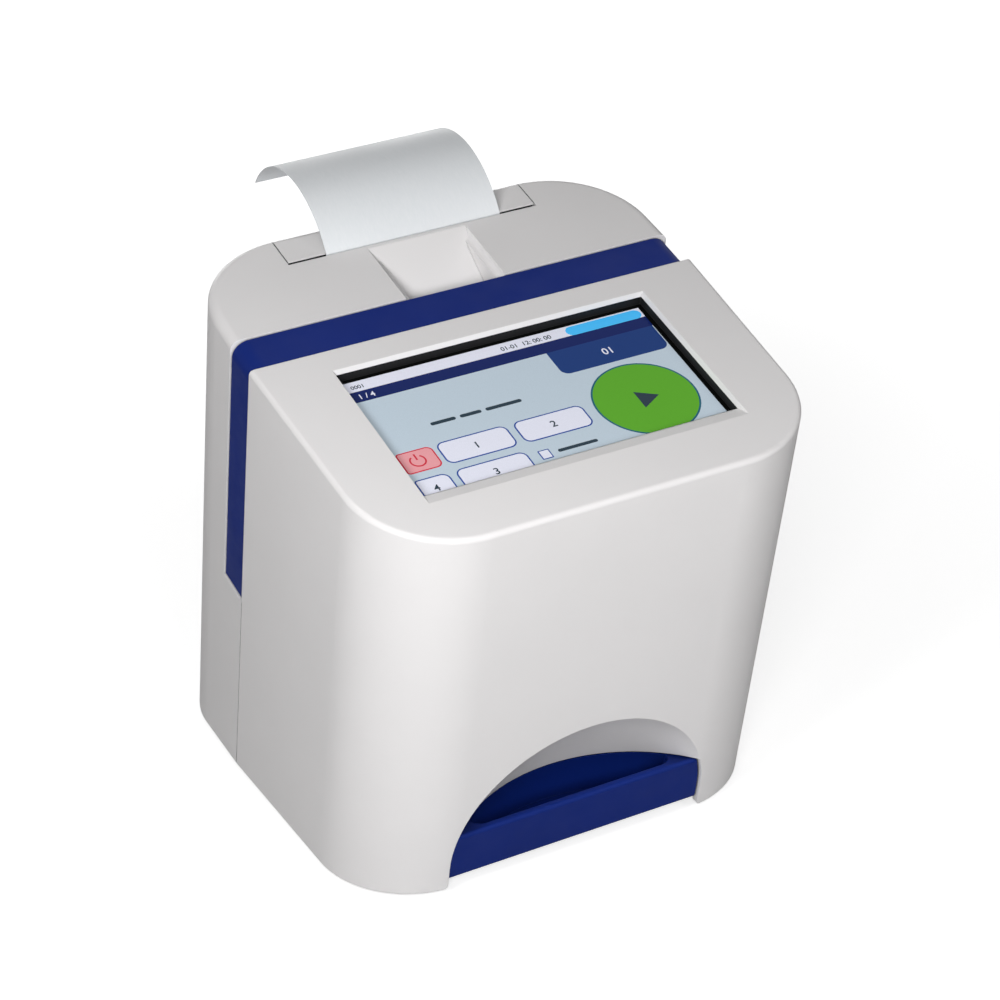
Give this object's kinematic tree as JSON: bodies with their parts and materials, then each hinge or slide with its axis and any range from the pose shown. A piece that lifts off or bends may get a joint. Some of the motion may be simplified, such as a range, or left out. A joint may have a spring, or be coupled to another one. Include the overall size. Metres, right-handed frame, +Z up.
{
  "type": "rapid test reader",
  "caption": "Desktop reader for rapid tests: leaning white case, sloped touch screen, blue accent frame, arched drawer with finger pocket, thermal printer with curled paper.",
  "frame": {"origin": "on the table, under the middle of the whole box", "axes": "+Z up, the user stands on the -Y side and the drawer opens toward -Y, +X to the user's right"},
  "size_m": [0.1424, 0.1749, 0.1792],
  "materials": {
    "cover_white": "fine satin moulded ABS",
    "accent_blue": "fine satin moulded ABS, dyed blue",
    "base_grey": "moulded plastic",
    "rubber_black": "matt rubber",
    "black_plastic": "black moulded plastic",
    "screen_glass": "clear cover glass over the lit display",
    "screw_steel": "zinc plated",
    "sheet_steel": "zinc plated sheet",
    "display_metal": "pressed bezel",
    "board_green": "solder mask",
    "led_white": "board with diodes",
    "seat_grey": "moulded insert",
    "head_black": "anodised heat sink",
    "gear_white": "acetal",
    "paper_white": "thermal paper",
    "core_card": "card",
    "platen_rubber": "ground rubber",
    "motor_can": "drawn can",
    "socket_metal": "pressed shell"
  },
  "bodies": {
    "housing": {"front_cover": "cover_white", "rear_cover": "cover_white", "accent_frame": "accent_blue", "base_plate": "base_grey", "rubber_feet": "rubber_black", "case_screws": "screw_steel", "screen_gasket": "black_plastic", "touch_panel": "screen_glass", "display_module": "display_metal", "display_bracket": "sheet_steel", "main_board": "board_green", "board_screws": "screw_steel", "optics_frame": "sheet_steel", "optics_hood": "black_plastic", "camera_board": "board_green", "camera_lens": "black_plastic", "led_ring": "led_white", "drawer_rail_left": "black_plastic", "drawer_rail_right": "black_plastic", "drawer_switch": "black_plastic", "printer_frame": "black_plastic", "print_head": "head_black", "head_spring": "sheet_steel", "tear_bar": "sheet_steel", "printer_motor": "motor_can", "door_hinge_pin": "screw_steel", "io_board": "board_green", "power_inlet": "black_plastic", "usb_sockets": "socket_metal", "serial_socket": "socket_metal", "switch_body": "black_plastic"},
    "drawer": {"drawer": "accent_blue", "cassette_tray": "seat_grey"},
    "door": {"printer_door": "cover_white", "platen_holder": "black_plastic", "paper_strip": "paper_white"},
    "platen": {"platen_shaft": "screw_steel", "platen_rubber": "platen_rubber", "platen_gear": "gear_white"},
    "idler": {"idler_gear": "gear_white"},
    "motor_shaft": {"motor_pinion": "gear_white", "pinion_shaft": "screw_steel"},
    "roll": {"paper_roll": "paper_white", "paper_core": "core_card"},
    "rocker": {"power_rocker": "black_plastic"}
  },
  "joints": [
    {"name": "drawer_slide", "type": "slide", "parent": "housing", "child": "drawer", "axis": [0, -1, 0], "range_m": [0, 0.052]},
    {"name": "door_hinge", "type": "hinge", "parent": "housing", "child": "door", "pos_m": [0, 0.05845, 0.10847], "axis": [-1, 0, 0], "range_deg": [0, 85]},
    {"name": "roll_spin", "type": "hinge", "parent": "housing", "child": "roll", "pos_m": [0, 0.0307, 0.11831], "axis": [1, 0, 0], "continuous": true},
    {"name": "platen_spin", "type": "hinge", "parent": "door", "child": "platen", "pos_m": [0, 0.0429, 0.15515], "axis": [1, 0, 0], "continuous": true},
    {"name": "idler_spin", "type": "hinge", "parent": "housing", "child": "idler", "pos_m": [0, 0.03326, 0.14585], "axis": [1, 0, 0], "continuous": true},
    {"name": "motor_spin", "type": "hinge", "parent": "housing", "child": "motor_shaft", "pos_m": [0, 0.0341, 0.13387], "axis": [1, 0, 0], "continuous": true},
    {"name": "power_switch", "type": "hinge", "parent": "housing", "child": "rocker", "pos_m": [0.018, 0.07554, 0.03481], "axis": [1, 0, 0], "range_deg": [0, 20]}
  ],
  "couplings": [
    {"joint": "platen_spin", "follows": "roll_spin", "ratio": 4.5},
    {"joint": "idler_spin", "follows": "roll_spin", "ratio": -2.625},
    {"joint": "motor_spin", "follows": "roll_spin", "ratio": 6.3}
  ]
}
